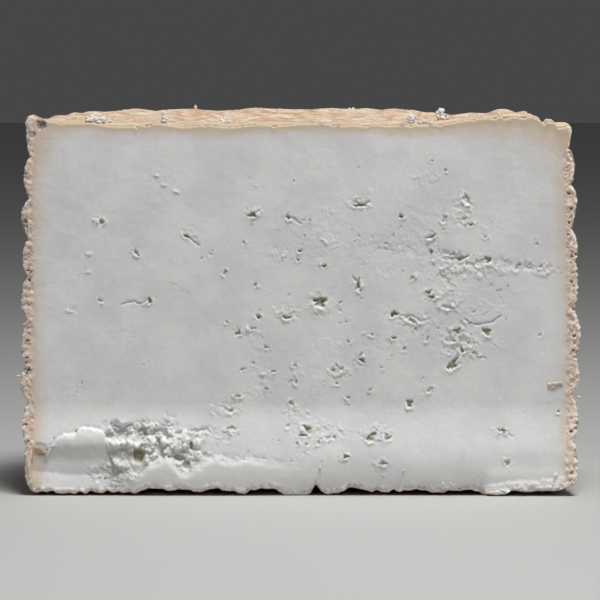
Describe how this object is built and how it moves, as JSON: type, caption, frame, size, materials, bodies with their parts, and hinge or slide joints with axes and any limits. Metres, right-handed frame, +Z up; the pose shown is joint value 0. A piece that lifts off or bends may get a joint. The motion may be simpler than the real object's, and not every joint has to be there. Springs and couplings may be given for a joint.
{
  "type": "semi-hard goat cheese, half wheel",
  "caption": "Half wheel of semi-hard goat cheese with a basket-printed rind and a crumbly white cut face.",
  "frame": {"origin": "centre of the bounding box at the base, on the ground", "axes": "+Z up, +X along the cut to the right as seen from in front, the cut face looking to -Y"},
  "size_m": [0.1322, 0.0699, 0.0902],
  "materials": {
    "cheese": "matt, slightly moist paste with a dry rind"
  },
  "bodies": {
    "root": {"cheese": "cheese"}
  },
  "joints": []
}
